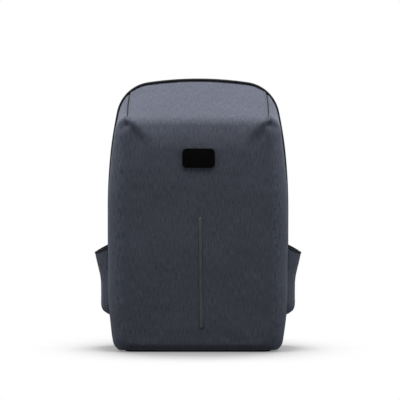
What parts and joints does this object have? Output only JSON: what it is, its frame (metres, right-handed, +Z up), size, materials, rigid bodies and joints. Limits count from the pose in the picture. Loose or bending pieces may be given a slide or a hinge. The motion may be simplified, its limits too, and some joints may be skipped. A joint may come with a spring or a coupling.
{
  "type": "solar backpack",
  "caption": "Slim structured commuter backpack with a small front solar module, side pockets, back-opening zip panel, padded straps and an inner power bank.",
  "frame": {"origin": "on the floor under the middle of the bag's bounding box", "axes": "+Z up along the bag's height, -Y out of the front face, +X to the right when seen from the front"},
  "size_m": [0.334, 0.1702, 0.4502],
  "materials": {
    "heather_fabric": "heathered blue-grey woven polyester, water repellent",
    "dark_fabric": "black woven lining and binding",
    "foam": "closed-cell foam sheet",
    "mesh_fabric": "black spacer mesh over foam",
    "webbing": "black woven webbing",
    "reflective_tape": "grey reflective tape",
    "black_plastic": "matte black moulded plastic",
    "board_plastic": "stiff sheet",
    "gloss_black": "gloss black plastic",
    "cover_glass": "tempered cover glass",
    "silicon_cell": "dark solar cell",
    "battery_foil": "pouch cell foil",
    "circuit_board": "green board",
    "zip_metal": "black-coated zinc",
    "cover_rubber": "black rubber"
  },
  "bodies": {
    "front_shell": {"front_panel": "heather_fabric", "left_side_panel": "heather_fabric", "right_side_panel": "heather_fabric", "right_port_panel": "heather_fabric", "foam_shell": "foam", "shell_lining": "dark_fabric", "base_panel": "board_plastic", "base_hinge_welt": "dark_fabric", "rim_binding": "dark_fabric", "hinge_gusset": "dark_fabric", "zip_tape_front": "dark_fabric", "zip_end_stops": "zip_metal", "reflective_strip": "reflective_tape", "left_side_pocket": "heather_fabric", "right_side_pocket": "heather_fabric", "left_pocket_binding": "dark_fabric", "right_pocket_binding": "dark_fabric", "solar_bezel": "gloss_black", "solar_cell": "silicon_cell", "solar_cover_glass": "cover_glass", "gland_nut": "black_plastic", "bank_front_case": "black_plastic", "bank_rear_case": "black_plastic", "battery_cell": "battery_foil", "charge_board": "circuit_board", "bank_pocket": "dark_fabric", "solar_lead": "cover_rubber", "usb_lead": "cover_rubber", "usb_port": "black_plastic"},
    "back_panel": {"zip_tape_rear": "dark_fabric", "back_fabric": "mesh_fabric", "frame_sheet": "board_plastic", "back_lining": "dark_fabric", "left_back_pad": "mesh_fabric", "right_back_pad": "mesh_fabric", "lumbar_pad": "mesh_fabric", "laptop_sleeve": "dark_fabric", "left_handle_patch": "dark_fabric", "right_handle_patch": "dark_fabric", "left_lower_webbing": "webbing", "left_webbing_anchor": "dark_fabric", "left_strap_patch": "dark_fabric", "right_lower_webbing": "webbing", "right_webbing_anchor": "dark_fabric", "right_strap_patch": "dark_fabric"},
    "slider": {"zip_slider": "zip_metal"},
    "pull": {"zip_pull": "zip_metal"},
    "port_cover": {"usb_cover": "cover_rubber"},
    "handle": {"top_handle": "webbing"},
    "left_strap": {"left_strap_pad": "mesh_fabric", "left_pad_loop": "webbing"},
    "left_buckle": {"left_ladder_lock": "black_plastic", "left_strap_tail": "webbing"},
    "right_strap": {"right_strap_pad": "mesh_fabric", "right_pad_loop": "webbing"},
    "right_buckle": {"right_ladder_lock": "black_plastic", "right_strap_tail": "webbing"}
  },
  "joints": [
    {"name": "back_panel_hinge", "type": "hinge", "parent": "front_shell", "child": "back_panel", "pos_m": [0, 0.0469, 0.0052], "axis": [-1, 0, 0], "range_deg": [0, 90]},
    {"name": "zip_slide", "type": "slide", "parent": "front_shell", "child": "slider", "axis": [0, 0, 1], "range_m": [0, 0.135]},
    {"name": "pull_swing", "type": "hinge", "parent": "slider", "child": "pull", "pos_m": [-0.1568, 0.039, 0.098], "axis": [0, 1, 0], "range_deg": [0, 150]},
    {"name": "port_cover_hinge", "type": "hinge", "parent": "front_shell", "child": "port_cover", "pos_m": [0.1491, 0, 0.2295], "axis": [0, -1, 0], "range_deg": [0, 120]},
    {"name": "handle_swing", "type": "hinge", "parent": "back_panel", "child": "handle", "pos_m": [0, 0.0508, 0.444], "axis": [1, 0, 0], "range_deg": [0, 80]},
    {"name": "left_strap_swing", "type": "hinge", "parent": "back_panel", "child": "left_strap", "pos_m": [-0.055, 0.0508, 0.418], "axis": [1, 0, 0], "range_deg": [0, 18]},
    {"name": "left_buckle_tilt", "type": "hinge", "parent": "left_strap", "child": "left_buckle", "pos_m": [-0.086, 0.0675, 0.1065], "axis": [1, 0, 0], "range_deg": [0, 20]},
    {"name": "right_strap_swing", "type": "hinge", "parent": "back_panel", "child": "right_strap", "pos_m": [0.055, 0.0508, 0.418], "axis": [1, 0, 0], "range_deg": [0, 18]},
    {"name": "right_buckle_tilt", "type": "hinge", "parent": "right_strap", "child": "right_buckle", "pos_m": [0.086, 0.0675, 0.1065], "axis": [1, 0, 0], "range_deg": [0, 20]}
  ]
}
